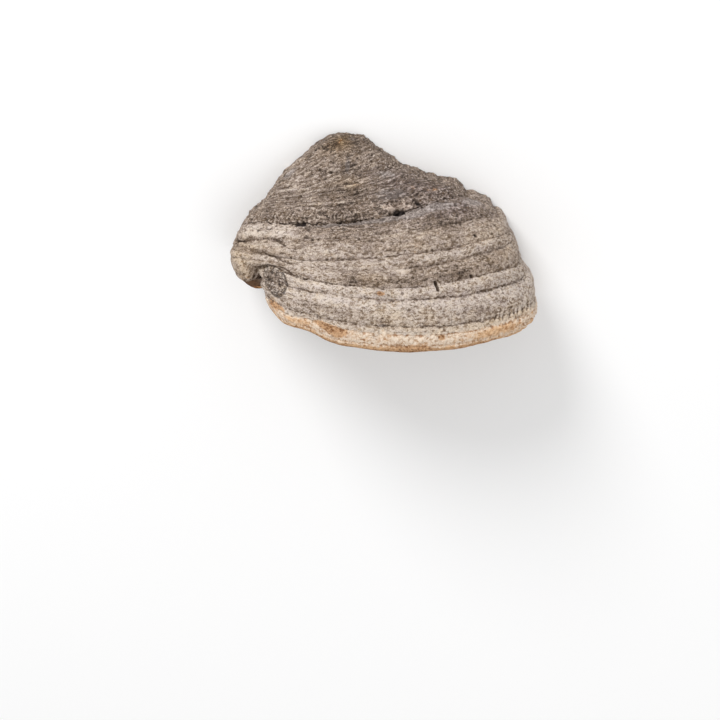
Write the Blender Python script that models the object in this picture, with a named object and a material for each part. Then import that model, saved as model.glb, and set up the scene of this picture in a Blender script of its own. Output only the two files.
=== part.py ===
"""A dried tinder fungus conk, sawn off flat where it grew on the trunk and resting on that cut.

The shape is worked out in millimetres the way the conk grew: x to the right, y back into the trunk, z up,
with the pores facing down. The trunk side is then cut flat at y = 0, and the conk is laid on the cut:
the cut is the plane Z = 0, +Y is the way up while it grew, and +Z points away from the trunk.
"""
import math

import bmesh
import bpy

MM = 0.001
CUT_MIDDLE = 42.0        # height of the origin above the lowest part of the margin

# The old top of the conk, where growth began, and the middle of the pore face
APEX = (-25.0, -7.0, 85.8)
PORE_MIDDLE = (8.0, -24.0, 7.5)

# Each spell of growth ends in a groove that runs around the conk. A groove is given by how far it reaches to
# the left and right, the depth of its widest chord, its front, how far it would run on into the trunk, how
# far it is pulled in at the fold, its height at seven angles from left to right, and the swell above it.
ANGLES = (-90.0, -66.0, -58.0, -42.0, 0.0, 50.0, 90.0)
GROOVES = (
    # left, right, chord, front, trunk, fold, heights at the seven angles, swell of the zone above
    (-41.0, -11.0, -4.0, -16.0, 20.0, 0.0, (76.0, 77.0, 77.2, 77.7, 79.0, 80.0, 79.0), 0.9),
    (-57.0, 1.0, -5.0, -23.0, 35.0, 0.0, (57.5, 61.1, 62.3, 64.5, 69.5, 72.5, 72.0), 0.7),
    (-64.5, 16.0, -8.0, -31.0, 45.0, 0.0, (44.5, 48.7, 50.1, 53.0, 61.0, 69.0, 68.2), 0.7),
    (-72.0, 37.5, -12.0, -41.5, 60.0, 0.0, (31.5, 38.3, 40.0, 42.9, 50.5, 64.5, 63.5), 1.6),
    (-74.5, 53.0, -16.0, -50.0, 72.0, 0.0, (26.5, 30.1, 31.4, 35.2, 47.0, 58.0, 58.0), 1.2),
    (-75.0, 61.5, -20.0, -58.0, 80.0, 0.0, (23.5, 26.7, 27.8, 30.7, 39.0, 50.0, 51.0), 1.2),
    (-75.6, 65.0, -22.0, -63.0, 84.0, 0.0, (21.0, 24.9, 26.5, 29.2, 34.0, 45.0, 44.0), 1.0),
    (-70.5, 70.0, -26.0, -69.0, 88.0, 5.5, (12.2, 15.3, 23.4, 25.8, 28.0, 36.5, 36.0), 2.0),
    (-69.8, 72.0, -28.0, -73.0, 90.0, 9.0, (12.0, 15.0, 19.2, 21.2, 23.5, 31.0, 32.0), 1.3),
    (-68.5, 77.5, -33.0, -79.0, 95.0, 10.5, (11.8, 14.7, 15.4, 12.3, 12.5, 20.0, 21.5), 2.0),
    (-67.5, 79.5, -34.0, -80.5, 95.0, 11.0, (11.6, 14.4, 13.8, 9.0, 9.0, 16.5, 18.5), 0.6),
    (-66.8, 80.0, -35.0, -80.5, 95.0, 11.0, (11.4, 14.1, 12.3, 5.6, 4.0, 11.0, 14.0), 0.6),
    (-65.8, 76.5, -35.0, -77.5, 93.0, 10.0, (11.2, 13.8, 11.0, 3.2, 0.3, 7.0, 10.0), 1.0),
)
# Where grooves leave their smooth course: their numbers, the angle, the half width and the rise
BENDS = (
    ((7,), -46.0, 8.0, 2.2),
    ((8,), -46.0, 8.0, 1.0),
    ((10, 11, 12), -26.0, 10.0, 1.3),
)
ROUNDNESS = 0.92         # below 1, the rings are fuller than an ellipse
SWELL_SHAPE = 0.7        # below 1, a zone meets its grooves steeply
FULL_SWELL_WIDTH = 6.0   # a zone narrower than this swells less

# The fold on the left, where the newest growth stops short in a rounded end, and the crumbly knot on that end
FOLD_ANGLE = -61.5
FOLD_WIDTHS = (3.0, 3.5)  # on the right of the fold and on the left
FOLD_PULL = (0.4, 0.9)
FOLDED = 7                # the first groove that folds
KNOT = (-51.0, -61.0, 22.5)
KNOT_RADIUS = 6.0
KNOT_HEIGHT = 1.2

SEGMENTS = 120
ROWS_PER_ZONE = 4
FRONT_CROWDING = 0.3     # the points stand closer together at the front than in the part that is cut away
SHORTEST_EDGE = 0.05


def signed_power(value, power):
    return math.copysign(abs(value) ** power, value)


def eased(share):
    share = max(0.0, min(1.0, share))
    return share * share * (3 - 2 * share)


def height_around(heights, angle):
    """A smooth curve through the heights, mirrored behind the widest chord. Angles are in degrees."""
    if angle > 90.0:
        angle = 180.0 - angle
    elif angle < -90.0:
        angle = -180.0 - angle
    marks = (-110.0,) + ANGLES + (130.0,)
    values = (heights[1],) + heights + (heights[-2],)
    i = 1
    while i < len(ANGLES) - 1 and angle > marks[i + 1]:
        i += 1
    span = marks[i + 1] - marks[i]
    t = (angle - marks[i]) / span
    slope_in = (values[i + 1] - values[i - 1]) / (marks[i + 1] - marks[i - 1]) * span
    slope_out = (values[i + 2] - values[i]) / (marks[i + 2] - marks[i]) * span
    return ((2 * t**3 - 3 * t**2 + 1) * values[i] + (t**3 - 2 * t**2 + t) * slope_in
            + (3 * t**2 - 2 * t**3) * values[i + 1] + (t**3 - t**2) * slope_out)


def on_groove(number, angle):
    """The point of a groove at an angle in degrees: -90 is left, 0 is the front and 90 is right."""
    if number < 0:
        return APEX
    if number >= len(GROOVES):
        return PORE_MIDDLE
    left, right, chord, front, trunk, fold, heights, _ = GROOVES[number]
    across = signed_power(math.sin(math.radians(angle)), ROUNDNESS)
    forward = signed_power(math.cos(math.radians(angle)), ROUNDNESS)
    width = FOLD_WIDTHS[0] if angle > FOLD_ANGLE else FOLD_WIDTHS[1]
    pull = fold * math.exp(-((angle - FOLD_ANGLE) / width) ** 2)
    x = (left + right) / 2 + (right - left) / 2 * across + pull * FOLD_PULL[0]
    reach = front - chord if forward > 0 else -trunk
    y = chord + reach * forward + pull * FOLD_PULL[1]
    z = height_around(heights, angle)
    for bent, middle, reach, rise in BENDS:
        if number in bent:
            z += rise * math.exp(-((angle - middle) / reach) ** 2)
    return (x, y, z)


def unit(vector):
    size = math.sqrt(sum(v * v for v in vector))
    return tuple(v / size for v in vector) if size > 0 else (0.0, 0.0, 0.0)


def cross(a, b):
    return (a[1] * b[2] - a[2] * b[1], a[2] * b[0] - a[0] * b[2], a[0] * b[1] - a[1] * b[0])


def outward(zone, angle):
    """The direction that the zone between two grooves faces."""
    upper, lower = on_groove(zone - 1, angle), on_groove(zone, angle)
    ahead = [(u + v) / 2 for u, v in zip(on_groove(zone - 1, angle + 0.1), on_groove(zone, angle + 0.1))]
    along = [a - (u + v) / 2 for a, u, v in zip(ahead, upper, lower)]
    down = [v - u for u, v in zip(upper, lower)]
    return unit(cross(down, along))


def knot_lump(point):
    """How far the crumbly knot stands out at a point: a low dome."""
    away = math.dist(point, KNOT) / KNOT_RADIUS
    return KNOT_HEIGHT * max(0.0, 1.0 - away * away)


def conk_point(level, angle):
    """A point of the whole conk. A level of 0 is the apex, and each whole level after it is a groove."""
    zone = min(int(level), len(GROOVES))
    t = level - zone
    upper, lower = on_groove(zone - 1, angle), on_groove(zone, angle)
    point = [u + (v - u) * t for u, v in zip(upper, lower)]
    swell = GROOVES[zone][-1] if zone < len(GROOVES) else 0.0
    swell *= min(1.0, math.dist(upper, lower) / FULL_SWELL_WIDTH)
    if zone > FOLDED:
        swell *= eased((angle - FOLD_ANGLE + FOLD_WIDTHS[1]) / sum(FOLD_WIDTHS))
    rise = swell * (4 * t * (1 - t)) ** SWELL_SHAPE + knot_lump(point)
    return [p + n * rise for p, n in zip(point, outward(zone, angle))]


def laid_down(x, y, z):
    """From the growing conk, in millimetres, to the one that lies on its cut, in metres."""
    return (x * MM, (z - CUT_MIDDLE) * MM, -y * MM)


def grow_conk():
    """A ball whose rings of points are moved to the growth zones, from the apex down to the pore face."""
    levels = len(GROOVES) + 1
    rows = levels * ROWS_PER_ZONE
    bm = bmesh.new()
    bmesh.ops.create_uvsphere(bm, u_segments=SEGMENTS, v_segments=rows, radius=1.0)
    for vertex in bm.verts:
        x, y, z = vertex.co
        row = round(math.acos(max(-1.0, min(1.0, z))) / math.pi * rows)
        turn = math.atan2(x, -y) if 0 < row < rows else 0.0
        angle = math.degrees(turn - FRONT_CROWDING * math.sin(turn))
        vertex.co = laid_down(*conk_point(row / ROWS_PER_ZONE, angle))
    return bm


def cut_at_trunk(bm):
    """Cut the conk off flat at the trunk and close the cut."""
    everything = bm.verts[:] + bm.edges[:] + bm.faces[:]
    bmesh.ops.bisect_plane(bm, geom=everything, plane_co=(0, 0, 0), plane_no=(0, 0, -1), clear_outer=True)
    bmesh.ops.remove_doubles(bm, verts=bm.verts[:], dist=SHORTEST_EDGE * MM)
    rim = [edge for edge in bm.edges if edge.is_boundary]
    for edge in rim:
        for vertex in edge.verts:
            vertex.co.z = 0.0
    bmesh.ops.holes_fill(bm, edges=rim, sides=0)
    bmesh.ops.triangulate(bm, faces=bm.faces[:])
    bmesh.ops.recalc_face_normals(bm, faces=bm.faces[:])


def crust_material():
    material = bpy.data.materials.new("dried_crust")
    material.use_nodes = True
    shader = material.node_tree.nodes["Principled BSDF"]
    shader.inputs["Base Color"].default_value = (0.36, 0.30, 0.25, 1.0)
    shader.inputs["Roughness"].default_value = 0.88
    shader.inputs["Metallic"].default_value = 0.0
    return material


def build():
    for existing in list(bpy.data.objects):
        bpy.data.objects.remove(existing, do_unlink=True)
    parts = bpy.data.collections.new("dried_tinder_fungus")
    bpy.context.scene.collection.children.link(parts)
    bm = grow_conk()
    cut_at_trunk(bm)
    mesh = bpy.data.meshes.new("conk")
    bm.to_mesh(mesh)
    bm.free()
    mesh.shade_smooth()
    mesh.set_sharp_from_angle(angle=math.radians(50))
    mesh.materials.append(crust_material())
    conk = bpy.data.objects.new("conk", mesh)
    parts.objects.link(conk)


build()
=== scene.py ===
"""The looks of a dried tinder fungus conk that lies on its flat trunk cut.

Lengths are millimetres in the growth frame (x right, y back into the trunk, z up, the pores facing down)
until laid_down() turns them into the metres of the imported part: the cut is Z = 0 and +Y is the way up while
the conk grew.
"""
import functools
import math
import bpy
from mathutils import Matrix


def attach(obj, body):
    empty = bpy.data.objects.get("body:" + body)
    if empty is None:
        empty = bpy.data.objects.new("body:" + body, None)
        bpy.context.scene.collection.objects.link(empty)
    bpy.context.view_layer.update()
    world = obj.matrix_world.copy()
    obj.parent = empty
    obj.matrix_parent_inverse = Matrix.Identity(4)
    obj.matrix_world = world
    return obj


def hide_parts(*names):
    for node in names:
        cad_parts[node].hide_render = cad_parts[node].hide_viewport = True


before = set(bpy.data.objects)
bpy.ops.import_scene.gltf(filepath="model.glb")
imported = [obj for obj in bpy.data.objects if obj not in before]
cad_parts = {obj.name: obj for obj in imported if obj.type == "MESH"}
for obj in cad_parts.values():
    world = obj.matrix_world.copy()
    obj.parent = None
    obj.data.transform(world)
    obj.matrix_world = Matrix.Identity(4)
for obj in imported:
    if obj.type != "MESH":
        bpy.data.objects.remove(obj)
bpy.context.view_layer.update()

from types import SimpleNamespace

import bpy
import numpy as np
from mathutils import Matrix, Vector
from mathutils.geometry import delaunay_2d_cdt

MM = 0.001
CUT_MIDDLE = 42.0        # height of the part's origin above the lowest part of the margin

# The form: the solid's grooves, set a little closer to the photograph, from the apex down to the rim of the
# pore face
TOP = (-22.5, 0.0, 84.0)
PORE_END = (8.0, 0.0, 7.5)
ANGLES = (-90.0, -66.0, -58.0, -42.0, 0.0, 50.0, 90.0)
GROOVES = (
    # left, right, chord, front, trunk, fold, heights at the seven angles, swell of the zone above
    (-40.8, -9.5, -4, -16, 20, 0, (76, 77, 77.2, 77.7, 79, 80, 79.5), 0.5),
    (-56.3, 3.3, -5, -23, 35, 0, (57.5, 61.1, 62.3, 64.5, 69.5, 72.5, 72.2), 0.7),
    (-63.2, 17.3, -8, -31, 45, 0, (44.5, 48.7, 50.1, 53, 61, 69, 68.8), 0.7),
    (-72, 38.3, -12, -41.5, 60, 0, (31.5, 38.3, 40, 42.9, 50.5, 64.5, 63.2), 1.5),
    (-74.5, 53.3, -16, -50, 72, 0, (26.5, 30.1, 31.4, 35.2, 47, 58, 57), 1.2),
    (-75, 60.8, -20, -58, 80, 0, (23.5, 26.7, 27.8, 30.7, 39, 50, 50.5), 1.2),
    (-75.6, 63, -22, -63, 84, 0, (21, 24.9, 26.5, 29.2, 34, 45.2, 46.5), 1),
    (-70.2, 68.3, -26, -69, 88, 3.4, (12.2, 15.3, 23.4, 25.8, 28, 37.7, 37.4), 1.5),
    (-69, 71.2, -28, -73, 90, 9, (12, 15, 19.2, 21.2, 23.5, 31, 32), 1.1),
    (-67.2, 77.7, -33, -79, 95, 10.5, (12.8, 15, 15.8, 12.5, 12.5, 20, 21.5), 1.5),
    (-66, 79.5, -34, -80.5, 95, 11, (13.2, 15.2, 14.4, 9.2, 9, 16.5, 18.5), 0.6),
    (-65.2, 79.7, -35, -80.5, 95, 11, (13.4, 15.4, 13.2, 5.8, 3.5, 11.3, 14.2), 0.6),
    (-64.3, 76.2, -35, -77.5, 93, 10, (13.4, 15.3, 12, 3.6, -0.3, 7.8, 10.2), 1),
)
# Where grooves leave their smooth course: their numbers, the angle, the half width and the rise
BENDS = (
    ((5,), -20.0, 15.0, -1.9),
    ((7,), -46.0, 8.0, 2.2),
    ((7,), -62.0, 2.0, -2.6),
    ((7,), -59.0, 1.6, 1.0),
    ((8,), -46.0, 8.0, 1.0),
    ((10, 11, 12), -30.0, 6.5, 1.5),
    ((11, 12), -16.0, 7.0, -0.8),
)
WAVERING = range(1, 10)  # the grooves that aren't quite even
WAVER = 0.22             # how far they stray, in millimetres
ZONES = len(GROOVES)
ROUNDNESS = 0.92         # below 1, the rings are fuller than an ellipse
SWELL_SHAPE = 0.7        # below 1, a zone meets its grooves steeply
FULL_SWELL_WIDTH = 6.0   # a zone narrower than this swells less
CROWN_SHAPE = 2.6        # how flat the very top is
FOLD_ANGLE = -61.5       # where the newest growth stops short, beside the lobe
FOLD_WIDTHS = (3.0, 2.4)  # in degrees, on the right of it and on the left
FOLD_PULL = (0.3, 0.9)   # how much of the fold goes to the right and to the back
FOLDED = 7               # the first groove that folds

# How dark and deep each groove is at the seven angles; the dark is painted shade and grime
CREASES = (
    (0.1, 0.1, 0.1, 0.1, 0.1, 0.1, 0.1),
    (0.2, 0.3, 0.3, 0.3, 0.3, 0.2, 0.2),
    (0.2, 0.3, 0.3, 0.3, 0.2, 0.3, 0.3),
    (0.7, 1.1, 1.4, 1.9, 1.8, 1.2, 0.5),
    (0.2, 0.3, 0.2, 0.1, 0.1, 0.6, 0.9),
    (0.1, 0.1, 0.1, 0.2, 0.8, 0.35, 0.1),
    (0, 0, 0.1, 0.1, 0.2, 0.5, 0.8),
    (0.4, 0.8, 0.8, 0.9, 0.9, 0.9, 0.7),
    (0, 0.2, 0.5, 0.8, 0.8, 0.8, 0.7),
    (0, 0, 0.2, 0.3, 0.7, 0.8, 0.7),
    (0, 0, 0.1, 0.3, 0.55, 0.8, 0.6),
    (0, 0, 0, 0.1, 0.3, 0.3, 0.2),
    (0, 0, 0, 0, 0, 0, 0),
)
CREASE_WIDTH = 0.36
CREASE_DEPTH = 0.45
CREASE_RISE = 0.2        # a crease lies just above the middle of its groove
RAGGED = (3, 1.0)        # the groove under the oldest, roughest crust, and how far it strays
STRAYING = 0.45          # how far the other grooves stray, in millimetres
SCALLOPED = (9, 56.0, 26.0, 0.75)  # a groove with a toothed edge: its number, angle, half width and height
TEETH = (10.22, 60.0, 0.3, 20.0)   # where teeth stand on that edge, given like a mark
TOOTH_PITCH = 2.3
TOOTH_HEIGHT = 0.4

# How rough the crust is from the apex to the middle of the pore face
ROUGH_LEVELS = (0.0, 3.8, 4.2, 5.5, 7.0, 9.0, 10.0, 12.0, 13.0, 14.0)
ROUGHNESS_THERE = (1.0, 1.0, 0.75, 0.5, 0.35, 0.25, 0.2, 0.15, 0.05, 0.0)
# How much upright fibres show instead of streaks along the zones
FIBROUS_LEVELS = (5.9, 6.1, 6.8, 7.1, 7.9, 8.1, 9.0, 9.3, 9.9, 10.1, 12.0)
FIBROUS_THERE = (0.0, 0.8, 0.8, 0.2, 0.2, 0.7, 0.6, 0.0, 0.0, 1.0, 1.0)
# Where zones are rolled: the first and last, the angle, how far it reaches and the height
ROLLS = (
    (4, 6, -62.0, 26.0, 1.2),
    (4, 6, 80.0, 30.0, 0.6),
    (7, 8, 80.0, 30.0, 0.3),
)
# Ledges of the old crust: their pitch, how far they stray and their height
LEDGES = ((4.3, 1.5, 0.42), (7.9, 2.2, 0.55))

# The streaks of the oldest crust on the left rise more than the zones: by how much, and where it fades
TILT = 0.4
TILT_LEVELS = (2.2, 3.6)

CUT_BLEND = 1.5          # this near to the cut the relief goes along it

# Marks of each kind: the level and angle of the middle, how far it reaches each way, and the strength
MARKS = {
    # darker weathering and stains, and painted shade beside the fold of the lobe
    "dark": (
        (4.6, 45, 0.5, 20, 0.8), (4.55, 75, 0.45, 22, 0.9), (4.35, -3, 0.4, 20, 0.75),
        (4.2, -22, 0.2, 8, 0.9), (4.08, -38, 0.12, 8, 0.7), (5.05, 27, 0.16, 3.5, 0.9),
        (5, 34.5, 0.16, 2.5, 0.9), (5.02, 39, 0.14, 2.5, 0.7), (3.5, 25, 0.5, 26, 0.6),
        (2.6, 40, 0.8, 34, 0.4), (2.9, 68, 0.9, 15, 0.7), (0.6, 20, 0.3, 60, 0.6), (7, 18, 0.22, 4, 1.2),
        (7, 24.5, 0.15, 1.8, 1.2), (7.25, 33, 0.3, 3, 0.7), (7.8, 33, 0.25, 5, 1.2),
        (7.76, -7, 0.3, 5.5, 1.1), (7.25, -6, 0.2, 7, 0.6), (7.15, -37, 0.5, 6, 0.7),
        (7.65, 18, 0.3, 18, 0.7), (7.3, 50, 0.5, 14, 0.35), (9.7, 48, 0.35, 10, 0.6),
        (8.5, 48, 0.5, 16, 0.3), (9.6, 30, 0.3, 8, 0.45), (9.55, -28, 0.3, 9, 0.4),
        (9.7, -10, 0.3, 12, 0.3), (1.65, 10, 0.3, 5, 0.9), (8.3, -68, 0.12, 8, 1.2),
        (0.9, -32, 0.2, 12, 1.5), (2.75, 2, 0.2, 2.5, 0.8), (5.75, 8.8, 0.12, 2.4, 1.2),
        (5.1, -8, 0.12, 3.5, 0.8), (10, -1, 0.2, 2.5, 0.8), (12.9, 5, 0.4, 60, 1.3),
        (11.15, -20, 0.4, 5.5, 0.9), (10.7, -49, 0.7, 3.5, 0.9), (11.2, 19, 0.25, 1.6, 1),
        (8.5, 0.6, 0.2, 1.3, 2),
    ),
    # paler places, and painted highlights on the rolls of the lobe
    "pale": (
        (4.45, -50, 0.4, 20, 1.75), (5.3, -50, 0.3, 16, 0.9), (7.2, -60, 0.6, 14, 0.5),
        (6.6, -30, 0.6, 14, 0.5), (4.66, -33, 0.35, 6, 1.1), (5.68, -18, 0.16, 9, 1.1),
        (5.45, 60, 0.35, 18, 0.35), (6.4, 40, 0.3, 16, 0.3), (8.3, -15, 0.4, 24, 0.3),
        (9.22, -20, 0.18, 18, 0.8), (7.4, -26, 0.5, 15, 0.8), (7.14, 11, 0.2, 3, 1.2),
        (4.35, 40, 0.12, 18, 0.9), (4.1, -20, 0.08, 14, 0.8), (2.8, -34, 0.8, 24, 0.6),
        (11.3, 10, 0.4, 14, 0.4), (11.2, -42, 0.5, 7, 0.6), (4.45, 72, 0.25, 14, 1.6),
    ),
    # cream crumbs
    "cream": (
        (3.76, 20, 0.12, 2.8, 1.3), (3.79, 27.5, 0.12, 3.2, 1.3), (3.92, -18, 0.08, 6, 0.7),
        (3.65, 54, 0.1, 4, 0.7), (2.53, 14.5, 0.12, 2, 0.8), (3.58, 7.3, 0.05, 2.2, 0.8),
        (3.58, 12.6, 0.05, 2.2, 0.8),
    ),
    # yellowish crust, or greyer where it is below 0
    "warm": (
        (7.2, -66, 1.1, 14, 0.95), (3.4, 50, 0.9, 24, -0.6), (4.5, 50, 0.4, 26, -0.6),
        (2.4, 45, 0.9, 26, -0.35), (9.2, 30, 0.5, 50, -0.2), (5.5, -62, 0.9, 22, 0.6),
        (7.64, 0, 0.3, 5, 0.7), (5.3, 20, 0.5, 22, 0.2), (9.6, 2, 0.35, 6, 0.6), (9.6, 16, 0.3, 3, 0.7),
        (2.53, 6, 0.4, 9, 0.8), (7.4, 60, 0.5, 20, 0.5), (5.8, 60, 0.5, 16, 0.5), (0.7, -18, 0.5, 30, 1),
        (10.6, 20, 0.8, 60, 0.5), (10.4, 55, 0.4, 25, 0.5), (0.6, -10, 0.35, 30, 1.2),
    ),
    # where the cream edge reaches higher
    "lip": (
        (10.5, 62, 0.6, 26, 0.6),
    ),
    # orange of the growing edge
    "ochre": (
        (11.45, 46, 0.5, 15, 1.05), (12.1, 76, 0.5, 14, 0.5), (12.7, 0, 0.55, 70, 1),
        (11.4, -36, 0.5, 10, 0.6), (7.9, -67.5, 0.22, 5, 0.45), (0.67, -18, 0.22, 9, 0.45),
        (3.6, 54, 0.12, 4, 0.6), (2.62, 11, 0.22, 3, 0.25), (3.3, 44, 0.14, 5, 0.25),
    ),
    # rust-brown spots
    "rust": (
        (10.95, -22.5, 0.42, 4.2, 1.4), (11.3, -17.5, 0.42, 3.6, 1.4), (10.7, -49, 0.7, 3, 1.3),
        (10.4, -44, 0.4, 3, 1), (8.5, 0.6, 0.13, 0.95, 1.7), (11.2, 19, 0.22, 1.3, 1.4),
        (12.2, 9.6, 0.45, 7, 1.1), (12.75, 5, 0.25, 50, 0.75), (12.35, 38, 0.25, 24, 0.9),
        (12.3, -30, 0.2, 12, 0.6), (11, 73, 0.2, 1.5, 0.9), (10.55, 41, 0.15, 2, 0.5),
    ),
    # smooth bluish grey
    "slate": (
        (1.92, -58, 0.25, 9, 1), (0.45, 12, 0.3, 22, 0.55), (4.4, 72, 0.22, 14, 0.9),
        (4.22, 32, 0.24, 24, 1), (4.2, -2, 0.14, 20, 0.9), (1.7, 7, 0.5, 3.5, 0.9), (3.3, 28, 0.3, 14, 0.7),
        (2.3, 40, 0.4, 14, 0.6), (4.2, -12, 0.1, 3, 0.8), (9.98, -0.7, 0.1, 2, 0.7),
    ),
    # places that stand out, in millimetres, or lie deeper where it is below 0
    "lump": (
        (5.62, -20, 0.4, 8, 0.9), (5.25, -45, 0.3, 8, 0.7), (4.5, -40, 0.35, 14, 0.5),
        (5.4, 48, 0.2, 3, 0.5), (4.27, 65, 0.2, 6, 0.6), (6.4, 62, 0.4, 4, 0.4), (1.75, 97, 0.25, 18, 0.8),
        (3.3, 99, 0.1, 12, -0.6), (3.75, 100, 0.2, 16, 0.9), (4.08, 100, 0.14, 20, -1.2),
        (4.8, 100, 0.2, 16, 0.8), (5.2, 98, 0.14, 18, -1.4), (8.1, 88, 0.3, 14, -0.6),
        (9.35, 92, 0.4, 12, 1.6), (8.9, 84, 0.3, 8, 0.5), (6.35, 87, 0.3, 13, -1.7),
        (8.9, -57, 1.3, 4.5, -1.5), (8.25, -54, 0.4, 4, -0.6), (5.6, -80, 0.4, 10, -1.6),
        (6.9, -72, 0.7, 10, 0.7), (5.7, 99, 0.14, 10, 0.7), (3.28, -95, 0.13, 9, -0.9),
        (1.87, -93, 0.12, 10, 0.9), (4.7, -82, 0.5, 12, -0.4),
    ),
    # holes
    "hollow": (
        (3.97, 22.5, 0.12, 3.6, 1.2), (4.08, -25, 0.13, 3, 1.2), (4.1, -13.5, 0.11, 1.4, 0.9),
        (4.08, -17.5, 0.08, 1.2, 0.6), (4.04, -5.5, 0.08, 2, 0.9), (4, 1.5, 0.06, 1.6, 0.6),
        (3.93, 34.8, 0.18, 1.4, 1), (3.94, 60.2, 0.1, 2, 0.7), (5.71, 49.3, 0.1, 1.1, 0.8),
        (7.94, 38.8, 0.1, 1, 0.6),
    ),
}

# Cracks: half the width and the depth in millimetres, then the level and angle of each point
CRACKS = (
    (0.35, 0.9, (4.02, -40), (4.04, -35), (4.04, -31), (4.02, -27)),
    (0.3, 0.5, (4.31, -51), (4.36, -43.6), (4.20, -39)),
    (0.3, 0.4, (4.64, -48.3), (4.45, -44.4)),
    (0.3, 0.4, (4.84, -56), (4.80, -49), (4.77, -45), (4.96, -38), (5.29, -34), (5.53, -31)),
    (0.35, 0.6, (5.92, -46), (6.09, -39), (6.56, -35), (6.76, -32), (6.76, -28), (6.44, -25)),
    (0.4, 0.7, (7.88, -59), (7.91, -55), (7.87, -51.8), (7.82, -47.6), (7.77, -43.4), (7.57, -37.5),
     (7.72, -36.1), (7.94, -35)),
    (0.3, 0.6, (8, -49.6), (8.1, -46.6), (7.87, -42.6), (7.94, -39.4)),
    (0.3, 0.4, (5.76, 7), (5.81, 10.4)),
    (0.3, 0.5, (5.5, 69), (5.65, 68), (6.09, 66), (6.4, 65), (6.7, 62)),
    (0.3, 0.45, (5.6, 60), (5.71, 59), (5.95, 57), (6.22, 54)),
    (0.3, 0.4, (5.08, -11), (5.11, -5.2)),
    (0.25, 0.3, (5.65, -16), (6.1, -16.5), (6.44, -16.8)),
    (0.4, 0.6, (8.82, -4.9), (9, -4.3)),
    (0.4, 0.6, (9.5, -25.4), (9.56, -24.3)),
    (0.3, 0.5, (10.6, -36.1), (11.06, -36.9)),
    (0.35, 0.6, (10.4, 16), (10.62, 15.4)),
    (0.25, 0.35, (8.5, 14.3), (8.38, 15.8)),
    (0.25, 0.3, (6.56, 12), (6.84, 12.8)),
)
SLIT = (0.5, 2.2, (7.9, 21.9), (7.96, 21.9), (8.0, 21.9), (8.04, 21.9), (8.12, 22.0), (8.28, 22.0),
        (8.46, 22.1))
# Soft folds of the lobe, given like the cracks
FOLDS = (
    (1.1, 1.1, (5.1, -78), (5, -68), (4.84, -59), (4.80, -49), (4.77, -45), (4.96, -38),
     (5.29, -34)),
    (1, 1, (5.4, -76), (5.53, -66), (5.81, -54), (5.92, -46), (6.09, -39), (6.56, -35),
     (6.76, -31)),
    (1.1, 0.3, (4.35, -78), (4.4, -66), (4.42, -55), (4.36, -46)),
)

KNOT = (8.72, -45.6, 0.92, 7.2)    # the level and angle of its middle and how far it reaches each way
PITS = 420
PIT_RADII = (0.45, 0.95)
PIT_DEPTHS = (0.3, 0.8)
PIT_SCALE = 0.8          # how much of that depth the surface takes
HOLLOW_DEPTH = 2.0

# Where each kind of relief shows: the levels over which it comes in, and those over which it goes again
HEM = ((3.3, 3.8), (4.08, 4.0))          # upright ridges over the ragged groove
FIBRES = ((4, 5), (12.5, 11))
STONES = ((4.0, 5.2), (10.3, 9.7))
BIG_STONES = ((5.0, 5.6), (9.9, 9.3))
BLOCKS = ((9.8, 10.2), (12.9, 12.3))
UNDERSIDE_LEVELS = (8.12, 8.3)           # the brown underside of the lobe
UNDERSIDE_ANGLES = (-60.0, -64.0)

# Stones packed in the crust: the size of one, the noise that moves them and how far, and two seeds
STONE = ((2.8, 2.1, 2.8), 6.0, 1.2, 90, 21)
BIG_STONE = ((4.6, 3.4, 4.6), 7.0, 1.5, 97, 24)
BLOCK = ((2.6, 3.3, 2.6), 5.0, 1.0, 95, 22)
STONE_LEVEL = 0.7        # the height of a stone at which it neither adds nor takes away

# The mesh, in millimetres
ROW_STEP = 0.53
ROW_CROWDING = 0.45      # rows stand closer together beside the grooves
COLUMN_STEP = 0.565
PORE_ROWS = 26
PORE_STEP = 1.7
PORE_DEPTH = 60.0        # how many millimetres of layers the pore face counts as
CUT_STEP = 2.2
CUT_ROW_STEP = 0.87 * CUT_STEP


def laid_down(points):
    """From the growing conk, in millimetres, to the one that lies on its cut, in metres."""
    return np.stack([points[..., 0], points[..., 2] - CUT_MIDDLE, -points[..., 1]], -1) * MM


# Noise

def shuffled(cells, table):
    """A number from 0 to 255 for each cell of space."""
    c = cells & 255
    return table[(table[(table[c[:, 0]] + c[:, 1]) & 255] + c[:, 2]) & 255]


def make_noise(seed):
    """Gradient noise of unit-sized cells, about -1 to 1."""
    rng = np.random.default_rng(seed)
    table = rng.permutation(256)
    gradients = rng.normal(size=(256, 3))
    gradients /= np.linalg.norm(gradients, axis=1, keepdims=True)

    def noise(points):
        cell = np.floor(points).astype(int)
        inside = points - cell
        eased = inside**3 * (inside * (inside * 6 - 15) + 10)
        total = np.zeros(len(points))
        for corner in np.ndindex(2, 2, 2):
            corner = np.array(corner)
            weight = np.where(corner, eased, 1 - eased).prod(axis=1)
            total += weight * ((inside - corner) * gradients[shuffled(cell + corner, table)]).sum(axis=1)
        return total * 1.6

    return noise


noise = make_noise(11)


def layered_noise(points, layers=3):
    """Noise with finer and weaker noise on it."""
    total = np.zeros(len(points))
    for i in range(layers):
        total += noise(points * 2.0**i + 31.7 * i) / 2.0**i
    return total / 1.5


def ridges(points):
    """Sharp crests, 0 to 1."""
    return 1 - np.clip(np.abs(noise(points)) * 2, 0, 1)


def stones(points, seed):
    """Rounded stones packed together in unit-sized cells: 1 on top of them, 0 in the gaps."""
    rng = np.random.default_rng(seed)
    table = rng.permutation(256)
    spots = rng.uniform(size=(256, 3))
    cell = np.floor(points).astype(int)
    first = np.full(len(points), 9.0)
    second = first.copy()
    for corner in np.ndindex(3, 3, 3):
        there = cell + np.array(corner) - 1
        away = np.linalg.norm(points - there - spots[shuffled(there, table)], axis=1)
        second = np.minimum(second, np.maximum(first, away))
        first = np.minimum(first, away)
    return ease(0.0, 0.5, second - first)


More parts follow.
